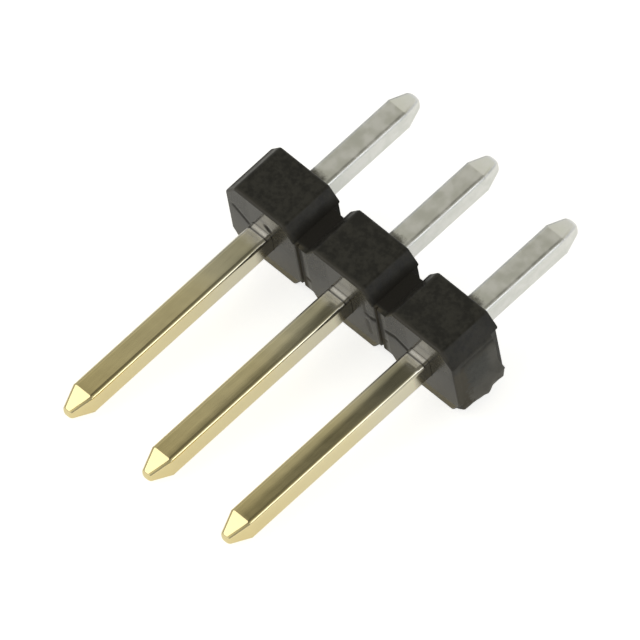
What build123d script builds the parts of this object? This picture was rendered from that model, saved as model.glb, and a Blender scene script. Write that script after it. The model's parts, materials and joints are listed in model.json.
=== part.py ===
"""Straight single-row pin header, three ways at 2.54 mm, snapped off a longer strip.

Each piece is made in the row's own axes: X runs along the row, Y along the pins towards
their solder tails, and Z across the row. The origin is on the middle pin's axis.
The last section lays the finished pieces down, the way a loose header comes to rest.
"""

import os
from math import asin, atan2, degrees, hypot

from build123d import *

os.makedirs("parts", exist_ok=True)

# Row
ways = 3
pitch = 2.54

# Insulator: one moulding, an eight-sided block round each pin with a thin web between blocks
contact_face = -0.72  # Y of the flat face that the contact ends stand out of
insulator_depth = 1.52  # along the pins
insulator_height = 2.38  # across the row
block_width = 2.26
bevel_width = 0.345  # the blocks' upper corner bevels, along the row
lower_bevel_width = 0.29
bevel_height = 0.44  # across the row
moulded_radius = 0.06

# Webs: where the strip is made to break, along a crease in the contact face and a wider
# groove in the tail face
web_height = 1.60
crease_width = 0.10
crease_depth = 0.12
groove_reach = 0.14  # into the blocks on each side of the gap
groove_depth = 0.26
groove_radius = 0.12

# Broken web on the last block: how far its torn face stands out of the block's side,
# in even steps from its bottom to its top and from its contact side to the groove
tear_setback = 0.12  # from the contact face
tear_drop = 0.20  # below the web, over the lower bevel
tear_upwards = (0.03, 0.14, 0.11, 0.20, 0.09, 0.07, 0.08, 0.07, 0.03)
tear_tailwards = (0.03, 0.09, 0.13, 0.17, 0.18, 0.14, 0.20)

# Pins: square wire with four-sided points
pin_width = 0.64
pin_corner = 0.11
contact_end = -7.03
contact_taper = 0.58
contact_nose = 0.26  # width left at the point
tail_end = 4.18
tail_taper = 0.57
tail_nose = 0.34
nose_corner = 0.07
nose_radius = 0.06
hole_clearance = 0.01  # on each side of the wire

# Coined stretch, pressed into two sides of the wire where it leaves the contact face
coined_length = 0.35
coined_depth = 0.012
notch_setback = 0.11  # from the contact face
notch_width = 0.14
notch_depth = 0.045

tail_face = contact_face + insulator_depth
contact_shoulder = contact_end + contact_taper
tail_shoulder = tail_end - tail_taper
last_block = pitch * (ways - 1) / 2
broken_side = last_block + block_width / 2
bevel_start = insulator_height / 2 - bevel_height
web_back = tail_face - groove_depth
tear_front = contact_face + tear_setback
tear_bottom = -web_height / 2 - tear_drop


def across(y, x=0):
    """The plane across the pins at y, looking back towards their contact ends."""
    return Plane(origin=(x, y, 0), x_dir=(1, 0, 0), z_dir=(0, -1, 0))


# ---------------------------------------------------------------- insulator

with BuildSketch() as block_section:
    with BuildLine():
        Polyline(
            (0, insulator_height / 2),
            (block_width / 2 - bevel_width, insulator_height / 2),
            (block_width / 2, bevel_start),
            (block_width / 2, -bevel_start),
            (block_width / 2 - lower_bevel_width, -insulator_height / 2),
            (0, -insulator_height / 2),
        )
        mirror(about=Plane.YZ)
    make_face()

with BuildPart() as insulator:
    with BuildSketch(across(tail_face)):
        with GridLocations(pitch, 0, ways, 1):
            add(block_section.sketch)
    extrude(amount=insulator_depth)
    fillet(insulator.edges(), moulded_radius)

    # The webs run from block to block, flush with their contact faces
    with BuildSketch(across(web_back)):
        Rectangle(pitch * (ways - 1), web_height)
    extrude(amount=web_back - contact_face)

    # The torn web: one ragged outline seen along the pins, cut by another seen from above
    upward_step = (web_height + tear_drop) / (len(tear_upwards) - 1)
    with BuildSketch(across(web_back)):
        with BuildLine():
            Polyline(
                (last_block, tear_bottom),
                *[
                    (broken_side + reach, tear_bottom + upward_step * step)
                    for step, reach in enumerate(tear_upwards)
                ],
                (last_block, web_height / 2),
                close=True,
            )
        make_face()
    extrude(amount=web_back - tear_front)

    tailward_step = (web_back - tear_front) / (len(tear_tailwards) - 1)
    with BuildSketch():
        with BuildLine():
            Polyline(
                (broken_side + pitch / 2, tear_front),
                *[
                    (broken_side + reach, tear_front + tailward_step * step)
                    for step, reach in enumerate(tear_tailwards)
                ],
                (broken_side + pitch / 2, web_back),
                close=True,
            )
        make_face()
    extrude(amount=web_height / 2 + tear_drop, both=True, mode=Mode.SUBTRACT)

    # The crease beside each web, and the groove behind it that the torn web has too
    with BuildSketch():
        with Locations(((block_width + crease_width - pitch) / 2, contact_face)):
            with GridLocations(pitch, 0, ways - 1, 1):
                Polygon((-crease_width / 2, 0), (0, crease_depth), (crease_width / 2, 0), align=None)
        with Locations((pitch / 2, tail_face)):
            with GridLocations(pitch, 0, ways, 1):
                RectangleRounded(
                    pitch - block_width + 2 * groove_reach,
                    2 * groove_depth,
                    groove_radius,
                )
    extrude(amount=web_height / 2, both=True, mode=Mode.SUBTRACT)

    # A close-fitting hole for each pin
    with BuildSketch(across(tail_face)):
        with GridLocations(pitch, 0, ways, 1):
            RectangleRounded(
                pin_width + 2 * hole_clearance,
                pin_width + 2 * hole_clearance,
                pin_corner + hole_clearance,
            )
    extrude(amount=insulator_depth, mode=Mode.SUBTRACT)

pieces = {"insulator": insulator}

# ---------------------------------------------------------------- pins

for way in range(ways):
    axis = (way - (ways - 1) / 2) * pitch
    with BuildPart() as pin:
        with BuildSketch(across(tail_shoulder, axis)):
            RectangleRounded(pin_width, pin_width, pin_corner)
        extrude(amount=tail_shoulder - contact_shoulder)

        for shoulder, end, nose in (
            (contact_shoulder, contact_end, contact_nose),
            (tail_shoulder, tail_end, tail_nose),
        ):
            with BuildSketch(across(shoulder, axis)):
                RectangleRounded(pin_width, pin_width, pin_corner)
            with BuildSketch(across(end, axis)):
                RectangleRounded(nose, nose, nose_corner)
            loft()
        fillet(pin.faces().sort_by(Axis.Y)[0].edges(), nose_radius)
        fillet(pin.faces().sort_by(Axis.Y)[-1].edges(), nose_radius)

        # The coined flat and its notch, the same above and below
        with BuildSketch(Plane.YZ.offset(axis)):
            with Locations((contact_face - coined_length / 2, pin_width / 2)):
                Rectangle(coined_length, 2 * coined_depth)
            with Locations((contact_face - notch_setback, pin_width / 2)):
                Polygon((-notch_width / 2, 0), (0, -notch_depth), (notch_width / 2, 0), align=None)
            mirror(about=Plane.XZ)
        extrude(amount=pin_width / 2, both=True, mode=Mode.SUBTRACT)
    pieces[f"pin_{way + 1}"] = pin

# ---------------------------------------------------------------- lying at rest

# The contact ends are the heavier, so a loose header tips over its rounded contact edge
# until the shoulders of the contact points touch down.
edge_above = insulator_height / 2 - pin_width / 2 - moulded_radius
edge_beyond = contact_face + moulded_radius - contact_shoulder
lean = atan2(edge_above, edge_beyond) + asin(moulded_radius / hypot(edge_above, edge_beyond))

for name, piece in pieces.items():
    piece.part.label = name
    piece.part.locate(Rotation(degrees(lean), 0, 0))

span = Compound([piece.part for piece in pieces.values()]).bounding_box()
to_origin = Location((-span.center().X, -span.center().Y, -span.min.Z))

for name, piece in pieces.items():
    piece.part.move(to_origin)
    export_step(piece.part, f"parts/{name}.step")
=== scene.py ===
"""The finish of a straight three-way pin header, lying on a pale floor.

Shapes are worked out in the header's own axes, in millimetres: X along the row towards the torn
web, Y along the pins towards the solder tails, Z across the row, with the origin on the middle
pin's axis at the insulator's contact face. The record's contact mount says how those axes lie
in the frame.
"""

import json
from math import atan, atan2, cos, pi, radians, sin, tan

import bmesh
import bpy
import numpy as np
from mathutils import Matrix, Vector, noise


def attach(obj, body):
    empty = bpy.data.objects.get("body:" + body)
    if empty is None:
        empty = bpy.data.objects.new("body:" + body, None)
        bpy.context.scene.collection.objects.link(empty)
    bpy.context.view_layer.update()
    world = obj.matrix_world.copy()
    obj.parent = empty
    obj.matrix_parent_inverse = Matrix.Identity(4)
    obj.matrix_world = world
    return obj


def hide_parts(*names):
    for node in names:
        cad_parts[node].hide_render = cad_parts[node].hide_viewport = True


MM = 0.001

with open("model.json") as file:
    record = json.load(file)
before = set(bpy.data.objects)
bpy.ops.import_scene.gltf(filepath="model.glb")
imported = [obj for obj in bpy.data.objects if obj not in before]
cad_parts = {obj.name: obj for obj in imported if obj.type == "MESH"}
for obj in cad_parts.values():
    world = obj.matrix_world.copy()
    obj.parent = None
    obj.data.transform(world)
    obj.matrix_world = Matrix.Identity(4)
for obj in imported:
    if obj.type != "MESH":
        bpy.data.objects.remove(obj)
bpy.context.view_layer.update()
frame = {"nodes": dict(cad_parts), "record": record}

# ---------------------------------------------------------------- the header's axes in the frame

contact_mount = next(m for m in frame["record"]["mounts"] if m["name"] == "contact_ends")
along = -Vector(contact_mount["axis"])
lean = atan2(along.z, along.y)
place_in_frame = Matrix.Translation(Vector(contact_mount["pos_m"]))
header = place_in_frame @ Matrix.Rotation(lean, 4, "X") @ Matrix.Scale(MM, 4)


def header_box(node):
    """(lowest, highest) corner of a CAD node in the header's axes, in millimetres."""
    to_header = header.inverted()
    corners = np.array([to_header @ v.co for v in frame["nodes"][node].data.vertices])
    return Vector(corners.min(0)), Vector(corners.max(0))


# ---------------------------------------------------------------- sizes, in millimetres

PITCH = 2.54
BLOCK_WIDTH = 2.26
BEVEL_WIDTH = 0.345
LOWER_BEVEL_WIDTH = 0.29
BEVEL_HEIGHT = 0.44
MOULDED_RADIUS = 0.06
MOULDED_STEPS = 4
WEB_HEIGHT = 1.60
WEB_INSET = 0.003
WEB_BITE = 0.2  # how far each end of a web reaches into its block
CREASE_WIDTH = 0.10
CREASE_DEPTH = 0.12
GROOVE_REACH = 0.14
GROOVE_DEPTH = 0.26
GROOVE_RADIUS = 0.12
HOLE_CLEARANCE = 0.008
HOLE_OVERRUN = 0.5
CUT_MARGIN = 0.001

# The torn web
TEAR_SETBACK = 0.12
TEAR_DROP = 0.20
TEAR_START = 0.003
TEAR_END_MARGIN = 0.004
TEAR_REACH = 0.066
TEAR_LIMIT = 0.19
TEAR_ROOT = 0.3
TEAR_STEPS = 48
TEAR_OVERHANG = 0.07
OVERHANG_Z = (-0.48, 0.30)  # its middle and half its spread
TEAR_GROOVE_REACH = 0.18
TEAR_GROOVE_BOTTOM = -0.95
TAILWARD_BULGES = ((0.105, -0.48, 0.34), (0.055, -0.78, 0.22))  # height, z, half spread
LOW_BULGES = ((0.125, 0.75, 0.30), (0.045, 0.45, 0.20))  # height, y, half spread

# The wires
PIN_CORNER = 0.11
CONTACT_TAPER = 0.58
CONTACT_NOSE = 0.26
CONTACT_ROUND = 0.085
TAIL_TAPER = 0.57
TAIL_NOSE = 0.34
TAIL_ROUND = 0.16
NOSE_CORNER = 0.09
NOSE_STEPS = 7
SHOULDER_RADIUS = 0.12
SHOULDER_STEPS = 4
COINED_LENGTH = 0.35
COINED_END = 0.03
COINED_DEPTH = 0.004
COINED_RAMP = 0.12
NOTCH_START = 0.170
NOTCH_BOTTOM = 0.128
NOTCH_END = 0.012
NOTCH_DEPTH = 0.0058
CORNER_STEPS = 6
CORNER_SUPPORT = 0.012
RING_SPACING = 0.25
COINED_SPACING = 0.006

insulator_high = header_box("insulator")[1]
pin_low, pin_high = header_box("pin_2")
DEPTH = insulator_high.y
HALF_HEIGHT = insulator_high.z
PIN_HALF = pin_high.z
BLOCKS = (-PITCH, 0, PITCH)
BROKEN_SIDE = PITCH + BLOCK_WIDTH / 2
BEVEL_START = HALF_HEIGHT - BEVEL_HEIGHT
WEB_BACK = DEPTH - GROOVE_DEPTH
TEAR_BOTTOM = -WEB_HEIGHT / 2 - TEAR_DROP
TEAR_TOP = BEVEL_START - 0.005


# ---------------------------------------------------------------- camera

VIEW_AZIMUTH = radians(45.4)
VIEW_ELEVATION = radians(51.67)
FRAME_WIDTH = 14.463 * MM
AIM_RIGHT = 1.010 * MM
AIM_UP = 0.933 * MM
CAMERA_DISTANCE = 0.25
AIM_SETBACK = 0.72  # from the contact face, along the middle pin

toward_camera = Vector((
    sin(VIEW_AZIMUTH) * cos(VIEW_ELEVATION),
    -cos(VIEW_AZIMUTH) * cos(VIEW_ELEVATION),
    sin(VIEW_ELEVATION),
))
camera_turn = toward_camera.to_track_quat("Z", "Y")
camera_right = camera_turn @ Vector((1, 0, 0))
camera_up = camera_turn @ Vector((0, 1, 0))
pin_axis_point = header @ Vector((0, AIM_SETBACK, 0))
aim = pin_axis_point - camera_right * AIM_RIGHT - camera_up * AIM_UP

camera_data = bpy.data.cameras.new("camera")
camera_data.type = "ORTHO"
camera_data.ortho_scale = FRAME_WIDTH
camera_data.clip_start = 0.001
camera_data.clip_end = 10
camera = bpy.data.objects.new("camera", camera_data)
camera.rotation_mode = "QUATERNION"
camera.rotation_quaternion = camera_turn
camera.location = aim + toward_camera * CAMERA_DISTANCE
bpy.context.scene.collection.objects.link(camera)
bpy.context.scene.camera = camera
bpy.context.scene.view_settings.view_transform = "Standard"


# ---------------------------------------------------------------- node helpers

class Nodes:
    """A material's or the world's node tree, with short calls for the nodes used here."""

    def __init__(self, tree):
        self.tree = tree
        tree.nodes.clear()

    def add(self, kind, inputs=None, **settings):
        node = self.tree.nodes.new(kind)
        for name, value in settings.items():
            setattr(node, name, value)
        for name, value in (inputs or {}).items():
            if isinstance(value, bpy.types.NodeSocket):
                self.tree.links.new(value, node.inputs[name])
            else:
                node.inputs[name].default_value = value
        return node

    def math(self, operation, a, b=0.0, clamp=False):
        node = self.add("ShaderNodeMath", {0: a, 1: b}, operation=operation, use_clamp=clamp)
        return node.outputs[0]

    def times(self, *factors):
        result = factors[0]
        for factor in factors[1:]:
            result = self.math("MULTIPLY", result, factor)
        return result

    def shift(self, value, by, amount):
        """value + by * amount."""
        return self.math("ADD", value, self.math("MULTIPLY", by, amount))

    def most(self, a, b):
        return self.math("MAXIMUM", a, b)

    def step(self, value, low, high, out_low=0.0, out_high=1.0):
        """A smooth rise from out_low to out_high as value goes from low to high."""
        ends = {"From Min": low, "From Max": high, "To Min": out_low, "To Max": out_high}
        node = self.add("ShaderNodeMapRange", {"Value": value, **ends}, interpolation_type="SMOOTHSTEP")
        return node.outputs["Result"]

    def mix(self, factor, a, b):
        """A colour that goes from a to b as factor goes from 0 to 1."""
        node = self.add("ShaderNodeMix", {"Factor": factor}, data_type="RGBA")
        for index, colour in ((6, a), (7, b)):
            if isinstance(colour, bpy.types.NodeSocket):
                self.tree.links.new(colour, node.inputs[index])
            else:
                node.inputs[index].default_value = (*colour, 1)
        return node.outputs[2]

    def fade(self, factor, a, b):
        """A number that goes from a to b as factor goes from 0 to 1."""
        node = self.add("ShaderNodeMix", {"Factor": factor, "A": a, "B": b}, data_type="FLOAT")
        return node.outputs[0]

    def noise(self, place, scale, detail=3.0, roughness=0.55):
        inputs = {"Vector": place, "Scale": scale, "Detail": detail, "Roughness": roughness}
        return self.add("ShaderNodeTexNoise", inputs).outputs["Fac"]

    def bump(self, height, strength, distance, normal=None):
        """A normal bent by height, with distance in millimetres."""
        inputs = {"Height": height, "Strength": strength, "Distance": distance * MM}
        if normal:
            inputs["Normal"] = normal
        return self.add("ShaderNodeBump", inputs).outputs["Normal"]


def header_place(nodes):
    """The shading point in the header's axes, in millimetres."""
    place = nodes.add("ShaderNodeTexCoord").outputs["Object"]
    mapping = nodes.add("ShaderNodeMapping", {"Vector": place}, vector_type="TEXTURE")
    mapping.inputs["Location"].default_value = header.translation
    mapping.inputs["Rotation"].default_value = (lean, 0, 0)
    mapping.inputs["Scale"].default_value = (MM, MM, MM)
    return mapping.outputs["Vector"]


def within_module(nodes, x):
    """The distance along the row from the nearest pin's axis, negative on its free-end side."""
    turns = nodes.math("DIVIDE", nodes.math("ADD", x, PITCH * 1.5), PITCH)
    return nodes.math("MULTIPLY", nodes.math("SUBTRACT", nodes.math("FRACT", turns), 0.5), PITCH)


def near_line(nodes, x, z, start, end, width):
    """1 along the line from start to end, both given as (x, z), and 0 from width away."""
    along_x, along_z = end[0] - start[0], end[1] - start[1]
    length_2 = along_x ** 2 + along_z ** 2
    from_x = nodes.math("SUBTRACT", x, start[0])
    from_z = nodes.math("SUBTRACT", z, start[1])
    share_x = nodes.math("MULTIPLY", from_x, along_x / length_2)
    share_z = nodes.math("MULTIPLY", from_z, along_z / length_2)
    share = nodes.math("ADD", share_x, share_z, clamp=True)
    off_x = nodes.math("SUBTRACT", from_x, nodes.math("MULTIPLY", share, along_x))
    off_z = nodes.math("SUBTRACT", from_z, nodes.math("MULTIPLY", share, along_z))
    squares = nodes.math("ADD", nodes.times(off_x, off_x), nodes.times(off_z, off_z))
    return nodes.step(nodes.math("SQRT", squares), width, width * 0.15)


def new_material(name):
    material = bpy.data.materials.new(name)
    material.use_nodes = True
    return material, Nodes(material.node_tree)


# ---------------------------------------------------------------- the moulding's material

RESIN_DARK, RESIN_PALE = (0.011, 0.0105, 0.0085), (0.033, 0.0315, 0.0255)
FACE_GLOSSY = (0.008, 0.006, 0.003)
FACE_DULL = (0.007, 0.0055, 0.003)
# painted warm bounce light for the contact face's lower part and foot
FACE_BOUNCE_LIGHT = (0.130, 0.102, 0.030)
# painted light on the creases' shaded slopes
CREASE_PAINTED_LIGHT = (0.080, 0.070, 0.052)
# painted highlight on the tops' front edges
FRONT_EDGE_HIGHLIGHT = (0.070, 0.064, 0.052)
# painted shade in the clefts over the webs
CLEFT_SHADE = (0.014, 0.012, 0.0095)
BROKEN_BROWN = (0.084, 0.076, 0.058)
TORN_DARK, TORN_PALE = (0.052, 0.054, 0.052), (0.082, 0.084, 0.080)
TORN_LOW = (0.165, 0.160, 0.145)

# Where each thing starts and where it is full, in millimetres
ON_FACE_Y = (0.012, 0.002)
FOOT_Z = (-0.74, -0.92)
BOUNCE_LIGHT_Z = (0.1, -0.7)
DULL_WEB_LEFT, DULL_WEB_RIGHT = (-0.21, -0.12), (0.15, 0.03)  # from the middle of the gap
UNBROKEN_FACE_X = (BROKEN_SIDE - 0.15, BROKEN_SIDE - 0.25)
CREASE_SHIFT = -0.045  # of the crease's soft dark band, from the middle of the gap
CREASE_BAND = (0.17, 0.05)
IN_CREASE_Y = (CREASE_DEPTH, 0.08)
BESIDE_PIN = (PIN_HALF, PIN_HALF + 0.10)
HIGH_ON_FACE_Z = (-0.25, 0.35)
FRONT_EDGE_Y, FRONT_EDGE_Z = (0.15, 0.02), (0.85, 1.05)
UNBROKEN_WEB_X = (BROKEN_SIDE - 0.36, BROKEN_SIDE - 0.40)
BEHIND_FACE_Y = (CREASE_DEPTH - 0.02, CREASE_DEPTH + 0.05)
CLEFT_GAP, CLEFT_Z = (0.45, 0.29), (1.05, 0.76)
BROKEN_X, BROKEN_Z = (BROKEN_SIDE - 0.05, BROKEN_SIDE - 0.005), (0.80, 0.58)
TORN_Y = (TEAR_SETBACK + 0.12, TEAR_SETBACK + 0.32)
TORN_Z = (BEVEL_START + 0.12, BEVEL_START - 0.10)
TORN_LOW_Z, TORN_TAIL_Y = (0.0, -0.8), (0.85, 1.15)

# Scores, hairline cracks and sink marks on the contact face: start and end as (x, z), width, strength
SCORE_WIDTH = 0.13
SCORE_DEPTH = 0.006
FACE_MARKS = (
    ((-3.42, 0.38), (-3.02, 0.10), SCORE_WIDTH, 0.9),
    ((-2.34, 0.57), (-2.28, 0.51), 0.17, 1.0),
    ((0.75, 0.70), (0.81, 0.23), SCORE_WIDTH, 0.45),
    ((0.81, 0.23), (0.96, 0.19), SCORE_WIDTH, 0.8),
    ((0.96, 0.19), (1.22, 0.30), SCORE_WIDTH, 1.0),
    ((0.80, -0.08), (0.85, -0.47), SCORE_WIDTH, 0.45),
    ((1.45, 0.12), (1.74, 0.20), SCORE_WIDTH, 1.0),
    ((1.74, 0.20), (2.09, 0.06), SCORE_WIDTH, 1.0),
    ((-1.17, -0.34), (-1.12, -0.36), 0.12, 0.9),
    ((1.29, -0.32), (1.34, -0.34), 0.12, 0.9),
)


def black_moulding():
    """Glass-filled black plastic: faintly mottled, glossier on the flat contact face."""
    material, nodes = new_material("black_moulding")
    place = header_place(nodes)
    x, y, z = nodes.add("ShaderNodeSeparateXYZ", {"Vector": place}).outputs
    local_x = within_module(nodes, x)
    web_x = within_module(nodes, nodes.math("SUBTRACT", x, PITCH / 2))

    mottle = nodes.noise(place, scale=3.0, detail=5.0)
    grain = nodes.noise(place, scale=30.0, detail=4.0, roughness=0.7)
    fibres = nodes.noise(place, scale=9.0, detail=6.0, roughness=0.6)
    flecks = nodes.math("ADD", nodes.times(mottle, 0.5), nodes.times(fibres, 0.5))
    colour = nodes.mix(nodes.step(flecks, 0.40, 0.60), RESIN_DARK, RESIN_PALE)

    # The contact face is glossy, but for its marks, the webs, the creases and high up beside the pins
    face = nodes.step(y, *ON_FACE_Y)
    off_face = nodes.math("SUBTRACT", 1.0, face)
    marks = 0.0
    for start, end, width, strength in FACE_MARKS:
        marks = nodes.most(marks, nodes.times(near_line(nodes, x, z, start, end, width), strength))
    marks = nodes.times(marks, face)
    unbroken_face = nodes.step(x, *UNBROKEN_FACE_X)
    web_left, web_right = nodes.step(web_x, *DULL_WEB_LEFT), nodes.step(web_x, *DULL_WEB_RIGHT)
    dull_web = nodes.times(face, web_left, web_right, unbroken_face)
    from_crease = nodes.math("ABSOLUTE", nodes.math("SUBTRACT", web_x, CREASE_SHIFT))
    by_crease = nodes.times(nodes.step(from_crease, *CREASE_BAND), unbroken_face)
    beside_pin = nodes.step(nodes.math("ABSOLUTE", local_x), *BESIDE_PIN)
    high_up = nodes.step(z, *HIGH_ON_FACE_Z, 0.0, 0.22)
    dull = nodes.most(marks, nodes.times(dull_web, 0.75))
    dull = nodes.most(dull, nodes.times(by_crease, face))
    dull = nodes.most(dull, nodes.times(face, beside_pin, high_up))
    colour = nodes.mix(face, colour, FACE_GLOSSY)
    colour = nodes.mix(dull, colour, FACE_DULL)

    # Painted warm bounce light lies on it lower down, most of all at its foot
    foot = nodes.times(face, nodes.step(z, *FOOT_Z))
    bounce_light = nodes.times(face, nodes.step(z, *BOUNCE_LIGHT_Z, 0.0, 0.20))
    colour = nodes.mix(nodes.most(foot, bounce_light), colour, FACE_BOUNCE_LIGHT)

    # Painted light lifts the shade on the creases' slopes, and a painted highlight lies along the tops'
    # front edges
    crease_painted_light = nodes.times(by_crease, off_face, nodes.step(y, *IN_CREASE_Y))
    colour = nodes.mix(crease_painted_light, colour, CREASE_PAINTED_LIGHT)
    front_edge_highlight = nodes.times(nodes.step(y, *FRONT_EDGE_Y), off_face, nodes.step(z, *FRONT_EDGE_Z), 0.7)
    colour = nodes.mix(front_edge_highlight, colour, FRONT_EDGE_HIGHLIGHT)

    # Painted shade darkens the clefts over the webs and the grooves behind them
    from_gap = nodes.math("SUBTRACT", PITCH / 2, nodes.math("ABSOLUTE", local_x))
    cleft_shade = nodes.times(
        nodes.step(x, *UNBROKEN_WEB_X),
        nodes.step(y, *BEHIND_FACE_Y),
        nodes.step(from_gap, *CLEFT_GAP),
        nodes.step(z, *CLEFT_Z),
    )
    colour = nodes.mix(cleft_shade, colour, CLEFT_SHADE)

    # The broken side is dull brown, and pale where the web tore away
    ragged = nodes.times(nodes.math("SUBTRACT", fibres, 0.5), 0.9)
    side = nodes.times(nodes.step(x, *BROKEN_X), nodes.step(nodes.shift(z, mottle, 0.3), *BROKEN_Z))
    tailward = nodes.step(nodes.math("ADD", y, ragged), *TORN_Y)
    below_bevel = nodes.step(nodes.math("ADD", z, ragged), *TORN_Z)
    torn_low = nodes.most(nodes.step(z, *TORN_LOW_Z), nodes.times(nodes.step(y, *TORN_TAIL_Y), 0.6))
    torn_colour = nodes.mix(nodes.step(grain, 0.3, 0.7), TORN_DARK, TORN_PALE)
    torn_colour = nodes.mix(torn_low, torn_colour, TORN_LOW)
    colour = nodes.mix(side, colour, BROKEN_BROWN)
    colour = nodes.mix(nodes.times(side, nodes.times(tailward, below_bevel)), colour, torn_colour)

    open_roughness = nodes.step(fibres, 0.3, 0.7, 0.38, 0.50)
    glossy_roughness = nodes.step(fibres, 0.3, 0.7, 0.10, 0.18)
    dull_share = nodes.most(dull, nodes.times(foot, 0.4))
    roughness = nodes.fade(cleft_shade, open_roughness, 0.85)
    roughness = nodes.fade(face, roughness, nodes.fade(dull_share, glossy_roughness, 0.70))
    roughness = nodes.fade(side, roughness, 0.62)

    scored = nodes.bump(marks, 1.0, -SCORE_DEPTH)
    smoother_face = nodes.step(face, 0.0, 1.0, 1.0, 0.25)
    bent = nodes.bump(nodes.times(smoother_face, nodes.shift(fibres, grain, 0.6)), 0.35, 0.006, scored)
    shader = nodes.add(
        "ShaderNodeBsdfPrincipled",
        {"Base Color": colour, "Roughness": roughness, "Normal": bent, "IOR": 1.45},
    )
    nodes.add("ShaderNodeOutputMaterial", {"Surface": shader.outputs[0]})
    return material


# ---------------------------------------------------------------- the wires' material

GOLD_TIP, GOLD_SHAFT, GOLD_BLOCK = (0.94, 0.81, 0.45), (0.94, 0.845, 0.545), (0.94, 0.89, 0.70)
# painted shade for the wires' tops near the block
GOLD_TOP_SHADE, GOLD_TORN_TOP_SHADE = (0.68, 0.65, 0.50), (0.50, 0.48, 0.38)
BARE_DULL, BARE_BRIGHT = (0.90, 0.86, 0.78), (0.97, 0.95, 0.89)
# painted shade for the sides of the bare coined stretch
BARE_SIDE_SHADE = (0.34, 0.32, 0.26)
TIN_DULL, TIN_BRIGHT = (0.86, 0.88, 0.87), (0.97, 0.98, 0.98)
# painted shade for the tails' tops beside the block
TIN_ROOT_SHADE = (0.13, 0.125, 0.115)

# Where each thing starts and where it is full, in millimetres
TIP_TO_SHAFT_Y, SHAFT_TO_BLOCK_Y = (-6.6, -3.0), (-2.6, -0.5)
TORN_WIRE_X = (1.0, 1.6)
ON_TOP_Z = (PIN_HALF - PIN_CORNER, PIN_HALF - 0.04)
SHADED_TOP_Y, SHADED_TORN_TOP_Y = (-2.1, -0.9), (-1.7, -0.8)
COINED_SIDE_X = (0.27, 0.31)
TIN_ROOT_Y, TIN_ROOT_X = (DEPTH + 0.62, DEPTH + 0.42), (0.26, 0.08)
UNCOATED_Y = (-COINED_LENGTH - 0.25, -COINED_LENGTH + 0.10)
TINNED_Y = (DEPTH * 0.4, DEPTH * 0.6)

# Slopes by which the normals turn away from the shapes'
WIRE_LEAN = 0.055  # of one side of each wire's top
WIRE_LEAN_GROWTH = (0.004, 0.016)  # more for each millimetre towards the block, first and last wire
WIRE_LEAN_START = 4.9
BLOCK_LEAN = 0.028  # more, beside the block
BLOCK_LEAN_Y = (-1.2, -0.5)
LEAN_BLEND = 0.11  # half the width of the change from flat to leaning
LEAN_BEFORE_COINED_Y = (-COINED_LENGTH + 0.06, -COINED_LENGTH - 0.03)
LEAN_FROM_POINT_Y = (pin_low.y + CONTACT_TAPER - 0.05, pin_low.y + CONTACT_TAPER + 0.10)
COINED_TILT = 0.075  # of the coined flat, towards the contact end
COINED_FLAT_Y = (-COINED_LENGTH - 0.01, -COINED_LENGTH + 0.04)
BEFORE_NOTCH_Y = (-NOTCH_START + 0.02, -NOTCH_START - 0.02)


def wire_lean(nodes, x, y, local_x, torn_side):
    """The slope by which each drawn wire's top turns away along one side of it."""
    axis_x = nodes.math("SUBTRACT", x, local_x)
    drift = nodes.times(y, nodes.math("ADD", nodes.times(torn_side, 0.020), -0.028))
    middle = nodes.shift(nodes.shift(drift, axis_x, -0.07), torn_side, 0.108)
    share = nodes.step(nodes.math("SUBTRACT", local_x, middle), -LEAN_BLEND, LEAN_BLEND)
    growth = nodes.step(x, *TORN_WIRE_X, *WIRE_LEAN_GROWTH)
    slope = nodes.times(growth, nodes.most(nodes.math("ADD", y, WIRE_LEAN_START), 0.0))
    by_block = nodes.times(nodes.step(y, *BLOCK_LEAN_Y), nodes.step(x, -PITCH, 0.0))
    slope = nodes.shift(nodes.math("ADD", slope, WIRE_LEAN), by_block, BLOCK_LEAN)
    before_coined = nodes.step(y, *LEAN_BEFORE_COINED_Y)
    return nodes.times(slope, share, before_coined, nodes.step(y, *LEAN_FROM_POINT_Y))


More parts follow.
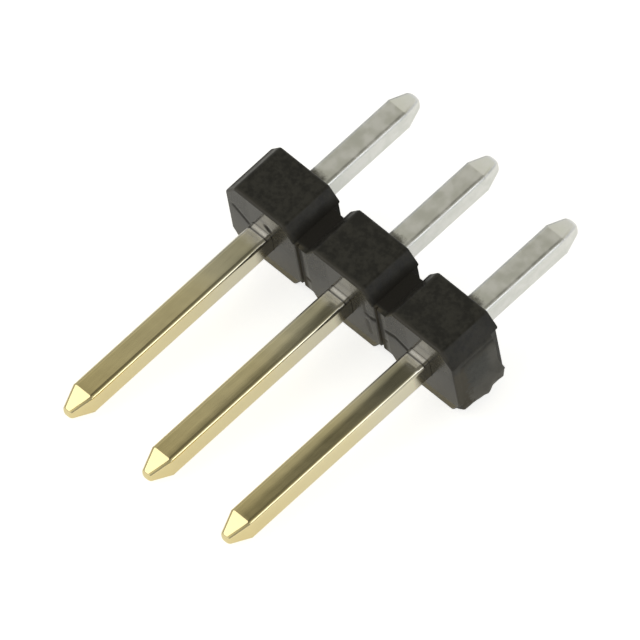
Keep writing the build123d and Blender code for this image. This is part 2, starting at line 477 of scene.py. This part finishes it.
def plated_wire():
    """Gold over the contact end, bare grey metal in the coined stretch, bright tin on the tail."""
    material, nodes = new_material("plated_wire")
    place = header_place(nodes)
    x, y, z = nodes.add("ShaderNodeSeparateXYZ", {"Vector": place}).outputs
    local_x = within_module(nodes, x)
    torn_side = nodes.step(x, *TORN_WIRE_X)
    on_top = nodes.step(z, *ON_TOP_Z)

    streak_place = nodes.add("ShaderNodeMapping", {"Vector": place}, vector_type="POINT")
    streak_place.inputs["Scale"].default_value = (1.0, 0.12, 1.0)
    streaks = nodes.noise(streak_place.outputs["Vector"], scale=14.0, detail=4.0)
    cloud = nodes.noise(place, scale=1.6, detail=3.0)
    speckle = nodes.noise(place, scale=11.0, detail=5.0, roughness=0.65)
    patches = nodes.noise(place, scale=2.8, detail=3.0, roughness=0.55)
    ripple = nodes.noise(place, scale=0.9, detail=2.0)

    # The gold pales towards the block, and painted shade darkens its tops there, most of all beside the
    # torn web
    gold = nodes.mix(nodes.step(y, *TIP_TO_SHAFT_Y), GOLD_TIP, GOLD_SHAFT)
    gold = nodes.mix(nodes.step(nodes.shift(y, cloud, 0.8), *SHAFT_TO_BLOCK_Y), gold, GOLD_BLOCK)
    gold = nodes.mix(nodes.times(nodes.step(y, *SHADED_TOP_Y), on_top, 0.9), gold, GOLD_TOP_SHADE)
    torn_top_shade = nodes.times(nodes.step(y, *SHADED_TORN_TOP_Y), on_top, torn_side, 0.5)
    gold = nodes.mix(torn_top_shade, gold, GOLD_TORN_TOP_SHADE)

    bare = nodes.mix(nodes.step(speckle, 0.35, 0.65), BARE_DULL, BARE_BRIGHT)
    # Painted shade darkens the sides of the bare coined stretch
    bare = nodes.mix(nodes.step(nodes.math("ABSOLUTE", local_x), *COINED_SIDE_X), bare, BARE_SIDE_SHADE)

    tin = nodes.mix(nodes.step(patches, 0.34, 0.66), TIN_DULL, TIN_BRIGHT)
    # Painted shade darkens each tail's top beside the block
    ragged_root = nodes.step(nodes.shift(y, speckle, 0.25), *TIN_ROOT_Y)
    root = nodes.times(ragged_root, nodes.step(local_x, *TIN_ROOT_X), on_top, 0.92)
    tin = nodes.mix(root, tin, TIN_ROOT_SHADE)

    edge = nodes.shift(y, nodes.math("SUBTRACT", speckle, 0.5), 0.12)
    uncoated = nodes.step(edge, *UNCOATED_Y)
    tinned = nodes.step(edge, *TINNED_Y)
    colour = nodes.mix(tinned, nodes.mix(uncoated, gold, bare), tin)

    gold_roughness = nodes.step(streaks, 0.3, 0.7, 0.10, 0.16)
    bare_roughness = nodes.step(speckle, 0.3, 0.7, 0.13, 0.20)
    tin_roughness = nodes.step(patches, 0.36, 0.64, 0.33, 0.46)
    metal_roughness = nodes.fade(tinned, bare_roughness, tin_roughness)
    roughness = nodes.fade(uncoated, gold_roughness, metal_roughness)

    coined_flat = nodes.times(nodes.step(y, *COINED_FLAT_Y), nodes.step(y, *BEFORE_NOTCH_Y))
    slopes = {
        "X": wire_lean(nodes, x, y, local_x, torn_side),
        "Y": nodes.times(coined_flat, on_top, -COINED_TILT),
    }
    lean_vector = nodes.add("ShaderNodeCombineXYZ", slopes).outputs[0]
    own_normal = nodes.add("ShaderNodeNewGeometry").outputs["Normal"]
    tilted = nodes.add("ShaderNodeVectorMath", {0: own_normal, 1: lean_vector}, operation="ADD")
    leaning = nodes.add("ShaderNodeVectorMath", {0: tilted.outputs[0]}, operation="NORMALIZE")

    waves = nodes.bump(ripple, 0.5, 0.02, leaning.outputs[0])
    metal_height = nodes.fade(tinned, nodes.times(speckle, 0.4), nodes.times(patches, 0.4))
    fine_height = nodes.fade(uncoated, nodes.times(streaks, 0.28), metal_height)
    shader = nodes.add(
        "ShaderNodeBsdfPrincipled",
        {
            "Base Color": colour,
            "Metallic": 1.0,
            "Roughness": roughness,
            "Normal": nodes.bump(fine_height, 0.3, 0.010, waves),
        },
    )
    nodes.add("ShaderNodeOutputMaterial", {"Surface": shader.outputs[0]})
    return material


# ---------------------------------------------------------------- meshes

def mesh_object(name, verts, faces):
    mesh = bpy.data.meshes.new(name)
    mesh.from_pydata([tuple(v) for v in verts], [], faces)
    mesh.update()
    thing = bpy.data.objects.new(name, mesh)
    bpy.context.scene.collection.objects.link(thing)
    return thing


def finish_piece(piece, material, slot, *nodes, sharp=35):
    """Lays a piece made in the header's axes down in the frame, and gives it its finish."""
    piece.data.transform(header)
    piece.data.materials.clear()
    piece.data.materials.append(material)
    piece.data.shade_smooth()
    piece.data.set_sharp_from_angle(angle=radians(sharp))
    weighted = piece.modifiers.new("face_weighted", "WEIGHTED_NORMAL")
    weighted.keep_sharp = True
    weighted.weight = 80
    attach(piece, "root")
    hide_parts(*nodes)


def rounded_square(half_x, half_z, radius, support=0.0):
    """Points round a rectangle with round corners, and if asked one on the flat beside each."""
    points = []
    for corner, (side_x, side_z) in enumerate(((1, 1), (-1, 1), (-1, -1), (1, -1))):
        centre_x, centre_z = side_x * (half_x - radius), side_z * (half_z - radius)
        arc = [pi / 2 * (corner + step / CORNER_STEPS) for step in range(CORNER_STEPS + 1)]
        bend = [(centre_x + radius * cos(angle), centre_z + radius * sin(angle)) for angle in arc]
        if support:
            first, last = arc[0], arc[-1]
            bend.insert(0, (bend[0][0] + support * sin(first), bend[0][1] - support * cos(first)))
            bend.append((bend[-1][0] - support * sin(last), bend[-1][1] + support * cos(last)))
        points += bend
    return points


def point_rings(taper, nose, radius, outward, end):
    """(y, half width, corner radius) over one four-sided point, from its end to its shoulder."""
    slope = atan((PIN_HALF - nose / 2) / taper)
    centre = nose / 2 + radius * (tan(slope) - 1 / cos(slope))
    rings = []
    for step in range(NOSE_STEPS + 1):
        angle = pi / 2 + (slope - pi / 2) * step / NOSE_STEPS
        y = end - outward * radius * (1 - sin(angle))
        half = centre + radius * cos(angle)
        rings.append((y, half, min(NOSE_CORNER, half * 0.75)))
    reach = SHOULDER_RADIUS * tan(slope / 2)
    shoulder = end - outward * taper
    for step in range(SHOULDER_STEPS + 1):
        angle = slope * (1 - step / SHOULDER_STEPS)
        y = shoulder - outward * (reach - SHOULDER_RADIUS * sin(angle))
        half = PIN_HALF - SHOULDER_RADIUS * (1 - cos(angle))
        rings.append((y, half, PIN_CORNER * 0.75 + PIN_CORNER * 0.25 * step / SHOULDER_STEPS))
    return rings


def smooth_step(value, low, high):
    t = min(1.0, max(0.0, (value - low) / (high - low)))
    return t * t * (3 - 2 * t)


def bump_at(value, centre, width):
    return max(0.0, 1 - abs(value - centre) / width)


def pressed(y):
    """How deep the coining goes into the two pressed sides at y: a flat, then a one-sided notch."""
    if not -COINED_LENGTH < y < COINED_END:
        return 0.0
    depth = COINED_DEPTH * smooth_step(y, -COINED_LENGTH, -COINED_LENGTH + COINED_RAMP)
    notch = smooth_step(y, -NOTCH_START, -NOTCH_BOTTOM) - smooth_step(y, -NOTCH_BOTTOM, -NOTCH_END)
    return depth + NOTCH_DEPTH * notch


def wire_mesh(name, x):
    """One pin with its axis at x: rings of points along it, closer together where it is coined."""
    contact = point_rings(CONTACT_TAPER, CONTACT_NOSE, CONTACT_ROUND, -1, pin_low.y)
    tail = point_rings(TAIL_TAPER, TAIL_NOSE, TAIL_ROUND, 1, pin_high.y)
    places = np.arange(contact[-1][0] + 0.2, tail[-1][0] - 0.1, RING_SPACING)
    straight = [y for y in places if not -0.5 < y < 0.05]
    coined = list(np.arange(-COINED_LENGTH - 0.02, 0.021, COINED_SPACING))
    middle = [(y, PIN_HALF, PIN_CORNER) for y in sorted(straight + coined)]
    rings = contact + middle + tail[::-1]

    verts = []
    for y, half, radius in rings:
        support = min(CORNER_SUPPORT, (half - radius) * 0.3)
        section = rounded_square(half, half - pressed(y), radius, support=support)
        verts += [(x + px, y, pz) for px, pz in section]
    around = 4 * (CORNER_STEPS + 3)
    faces = []
    for ring in range(len(rings) - 1):
        for k in range(around):
            a, b = ring * around + k, ring * around + (k + 1) % around
            faces.append((a, b, b + around, a + around))
    faces.append(tuple(reversed(range(around))))
    faces.append(tuple(range((len(rings) - 1) * around, len(rings) * around)))
    return mesh_object(name, verts, faces)


def prism(name, outline, low, high, upright=False):
    """A prism along Y from an outline in the X-Z plane, or upright from one in the X-Y plane."""
    count = len(outline)
    if upright:
        verts = [(x, y, low) for x, y in outline] + [(x, y, high) for x, y in outline]
    else:
        verts = [(x, low, z) for x, z in outline] + [(x, high, z) for x, z in outline]
    faces = [tuple(range(count)), tuple(reversed(range(count, 2 * count)))]
    faces += [(k, count + k, count + (k + 1) % count, (k + 1) % count) for k in range(count)]
    solid = mesh_object(name, verts, faces)
    edit = bmesh.new()
    edit.from_mesh(solid.data)
    bmesh.ops.recalc_face_normals(edit, faces=edit.faces)
    edit.to_mesh(solid.data)
    edit.free()
    return solid


def block_mesh(x):
    """One eight-sided block with moulded edges, its pin's axis at x."""
    wide, high = BLOCK_WIDTH / 2, HALF_HEIGHT
    right = [
        (wide - BEVEL_WIDTH, high),
        (wide, BEVEL_START),
        (wide, -BEVEL_START),
        (wide - LOWER_BEVEL_WIDTH, -high),
    ]
    outline = right + [(-px, pz) for px, pz in reversed(right)]
    block = prism("block", [(x + px, pz) for px, pz in outline], 0, DEPTH)
    edit = bmesh.new()
    edit.from_mesh(block.data)
    bmesh.ops.bevel(
        edit,
        geom=edit.edges[:],
        offset=MOULDED_RADIUS,
        segments=MOULDED_STEPS,
        profile=0.5,
        affect="EDGES",
    )
    edit.to_mesh(block.data)
    edit.free()
    return block


def bulge(value, bulges):
    return sum(height * bump_at(value, centre, width) for height, centre, width in bulges)


def tear_reach(y, z):
    """How far the torn web stands out of the block's side, or sinks back under its lower bevel."""
    coarse = noise.noise(Vector((y * 1.9 + 3.1, z * 1.6, 5.3)))
    fine = noise.noise(Vector((y * 7.0, z * 6.0 + 1.7, 9.1)))
    grit = noise.noise(Vector((y * 19.0, z * 17.0, 2.2)))
    reach = TEAR_REACH + 0.014 * coarse + 0.012 * fine + 0.006 * grit
    reach += smooth_step(y, WEB_BACK - 0.34, WEB_BACK) * bulge(z, TAILWARD_BULGES)
    reach += (1 - smooth_step(z, -0.75, -0.50)) * bulge(y, LOW_BULGES)

    # It fades out towards the contact face, the top and the bottom
    start = TEAR_SETBACK * smooth_step(z, -0.95, -0.60)
    reach *= smooth_step(y, start, start + 0.28)
    reach *= 1 - smooth_step(z, TEAR_TOP - 0.36, TEAR_TOP)
    reach *= smooth_step(z, TEAR_BOTTOM - 0.06, TEAR_BOTTOM + 0.20)
    reach -= 0.02 * smooth_step(z, TEAR_TOP - 0.14, TEAR_TOP)

    under_bevel = -LOWER_BEVEL_WIDTH / BEVEL_HEIGHT * max(0.0, -BEVEL_START - z)
    inset = 0.004 + MOULDED_RADIUS * (1 - smooth_step(y, 0.0, MOULDED_RADIUS))
    blend = smooth_step(y, start, start + 0.14)
    return min(TEAR_LIMIT, (under_bevel - inset) * (1 - blend) + reach * blend)


def torn_stub():
    """The stub of the broken web, its end a field of ragged bumps."""
    verts, faces = [], []
    for j in range(TEAR_STEPS + 1):
        for i in range(TEAR_STEPS + 1):
            z = TEAR_BOTTOM + (TEAR_TOP - TEAR_BOTTOM) * j / TEAR_STEPS
            end = WEB_BACK + TEAR_END_MARGIN + TEAR_OVERHANG * bump_at(z, *OVERHANG_Z)
            y = TEAR_START + (end - TEAR_START) * i / TEAR_STEPS
            verts.append((BROKEN_SIDE + tear_reach(y, z), y, z))
    wide = TEAR_STEPS + 1
    for j in range(TEAR_STEPS):
        for i in range(TEAR_STEPS):
            a = j * wide + i
            faces.append((a, a + 1, a + 1 + wide, a + wide))
    rim = (
        [i for i in range(wide)]
        + [j * wide + TEAR_STEPS for j in range(1, wide)]
        + [TEAR_STEPS * wide + i for i in range(TEAR_STEPS - 1, -1, -1)]
        + [j * wide for j in range(TEAR_STEPS - 1, 0, -1)]
    )
    root = len(verts)
    verts += [(BROKEN_SIDE - TEAR_ROOT, verts[k][1], verts[k][2]) for k in rim]
    count = len(rim)
    for k in range(count):
        a, b = rim[k], rim[(k + 1) % count]
        faces.append((b, a, root + k, root + (k + 1) % count))
    faces.append(tuple(root + k for k in range(count)))
    return mesh_object("stub", verts, faces)


def combine(target, other, operation):
    """Applies a boolean of other to target, and deletes other."""
    modifier = target.modifiers.new("combine", "BOOLEAN")
    modifier.operation = operation
    modifier.solver = "EXACT"
    modifier.object = other
    graph = bpy.context.evaluated_depsgraph_get()
    result = bpy.data.meshes.new_from_object(target.evaluated_get(graph), depsgraph=graph)
    target.modifiers.clear()
    target.data = result
    bpy.data.objects.remove(other)


def insulator_mesh():
    """The blocks and webs in one, with the creases, grooves, torn stub and holes."""
    half_web = WEB_HEIGHT / 2
    half_gap = (PITCH - BLOCK_WIDTH) / 2
    body = block_mesh(BLOCKS[0])
    for x in BLOCKS[1:]:
        middle, half = x - PITCH / 2, half_gap + WEB_BITE
        sides = ((-1, -1), (1, -1), (1, 1), (-1, 1))
        corners = [(middle + sx * half, sz * half_web) for sx, sz in sides]
        combine(body, prism("web", corners, WEB_INSET, WEB_BACK), "UNION")
        combine(body, block_mesh(x), "UNION")

    for x in BLOCKS[:-1]:
        crease = x + (BLOCK_WIDTH + CREASE_WIDTH) / 2
        vee = [
            (crease - CREASE_WIDTH / 2, -CUT_MARGIN),
            (crease, CREASE_DEPTH),
            (crease + CREASE_WIDTH / 2, -CUT_MARGIN),
        ]
        combine(body, prism("crease", vee, -half_web, half_web, upright=True), "DIFFERENCE")
    for x in BLOCKS:
        torn = x == BLOCKS[-1]
        reach = TEAR_GROOVE_REACH if torn else GROOVE_REACH
        bottom = TEAR_GROOVE_BOTTOM if torn else -half_web
        shape = rounded_square(half_gap + reach, GROOVE_DEPTH, GROOVE_RADIUS)
        groove = [(x + PITCH / 2 + px, DEPTH + py) for px, py in shape]
        combine(body, prism("groove", groove, bottom, half_web, upright=True), "DIFFERENCE")
    combine(body, torn_stub(), "UNION")
    for x in BLOCKS:
        half_hole = PIN_HALF + HOLE_CLEARANCE
        hole = [(x + px, pz) for px, pz in rounded_square(half_hole, half_hole, PIN_CORNER)]
        combine(body, prism("hole", hole, -HOLE_OVERRUN, DEPTH + HOLE_OVERRUN), "DIFFERENCE")
    body.name = "insulator_moulding"
    return body


moulding = black_moulding()
wire = plated_wire()

finish_piece(insulator_mesh(), moulding, "insulator", "insulator", sharp=30)
for way, x in enumerate(BLOCKS, start=1):
    finish_piece(wire_mesh(f"pin_{way}_wire", x), wire, "contact", f"pin_{way}")

# ---------------------------------------------------------------- floor, world and lamps

WHITE = (1, 1, 1)
BLACK = (0, 0, 0)

FLOOR_SIZE = 4.0  # metres
FLOOR_COLOUR = (0.80, 0.80, 0.79, 1)
FLOOR_SEEN = 0.74  # added for the camera alone
FLOOR_MIRRORED = 0.38  # added where the object mirrors the floor
FLOOR_MIRROR_TINT = (1.0, 0.985, 0.93)

SKY_GREYS = ((0.0, 0.70), (0.45, 0.74), (0.70, 0.72), (0.87, 0.38), (0.945, 0.09), (1.0, 0.16))
WARM_TINT = (1.04, 1.0, 0.80)
WARM_FROM = 0.6
DIM_RIGHT, DIM_RIGHT_AMOUNT = (0.1, 0.8), 0.56
DIM_LEFT, DIM_LEFT_AMOUNT = (-0.48, -0.74), 0.50

LAMP_DISTANCE = 0.5  # metres


def studio_floor():
    """A pale floor that keeps the object's shadow and is near white to the camera."""
    edge = FLOOR_SIZE / 2
    corners = [(-edge, -edge, 0), (edge, -edge, 0), (edge, edge, 0), (-edge, edge, 0)]
    floor = mesh_object("floor", corners, [(0, 1, 2, 3)])
    material, nodes = new_material("pale_floor")
    rays = nodes.add("ShaderNodeLightPath").outputs
    seen = nodes.times(rays["Is Camera Ray"], FLOOR_SEEN)
    mirrored = nodes.times(rays["Is Glossy Ray"], FLOOR_MIRRORED)
    tint = nodes.mix(rays["Is Glossy Ray"], WHITE, FLOOR_MIRROR_TINT)
    matt = nodes.add("ShaderNodeBsdfDiffuse", {"Color": FLOOR_COLOUR})
    strength = nodes.math("ADD", seen, mirrored)
    lift = nodes.add("ShaderNodeEmission", {"Color": tint, "Strength": strength})
    both = nodes.add("ShaderNodeAddShader", {0: matt.outputs[0], 1: lift.outputs[0]})
    nodes.add("ShaderNodeOutputMaterial", {"Surface": both.outputs[0]})
    floor.data.materials.append(material)


def studio_world():
    """White to the camera. To the object it is pale round the horizon, dark high up, and dimmer
    on the left and the right."""
    world = bpy.data.worlds.new("studio")
    bpy.context.scene.world = world
    world.use_nodes = True
    nodes = Nodes(world.node_tree)
    direction = nodes.add("ShaderNodeTexCoord").outputs["Generated"]
    across, _, height = nodes.add("ShaderNodeSeparateXYZ", {"Vector": direction}).outputs
    ramp = nodes.add("ShaderNodeValToRGB", {"Fac": height})
    while len(ramp.color_ramp.elements) < len(SKY_GREYS):
        ramp.color_ramp.elements.new(0.5)
    for element, (position, grey) in zip(ramp.color_ramp.elements, SKY_GREYS):
        element.position = position
        tint = WARM_TINT if position > WARM_FROM else WHITE
        element.color = (*[grey * share for share in tint], 1)
    camera_ray = nodes.add("ShaderNodeLightPath").outputs["Is Camera Ray"]
    right = nodes.times(nodes.step(across, *DIM_RIGHT), DIM_RIGHT_AMOUNT)
    left = nodes.times(nodes.step(across, *DIM_LEFT), DIM_LEFT_AMOUNT)
    sky = nodes.mix(nodes.math("ADD", right, left), ramp.outputs["Color"], BLACK)
    colour = nodes.mix(camera_ray, sky, WHITE)
    background = nodes.add("ShaderNodeBackground", {"Color": colour, "Strength": 1.0})
    nodes.add("ShaderNodeOutputWorld", {"Surface": background.outputs[0]})


def softbox(name, direction, size, radiance):
    """A square lamp facing the object, of an even brightness."""
    data = bpy.data.lights.new(name, "AREA")
    data.shape = "SQUARE"
    data.size = size
    data.energy = radiance * size * size * pi
    lamp = bpy.data.objects.new(name, data)
    lamp.location = Vector(direction).normalized() * LAMP_DISTANCE
    lamp.rotation_mode = "QUATERNION"
    lamp.rotation_quaternion = Vector(direction).to_track_quat("Z", "Y")
    bpy.context.scene.collection.objects.link(lamp)


studio_floor()
studio_world()
softbox("front_left_box", direction=(-0.44, -0.41, 0.80), size=0.30, radiance=0.88)
softbox("back_right_box", direction=(0.86, 0.25, 0.42), size=0.22, radiance=1.35)
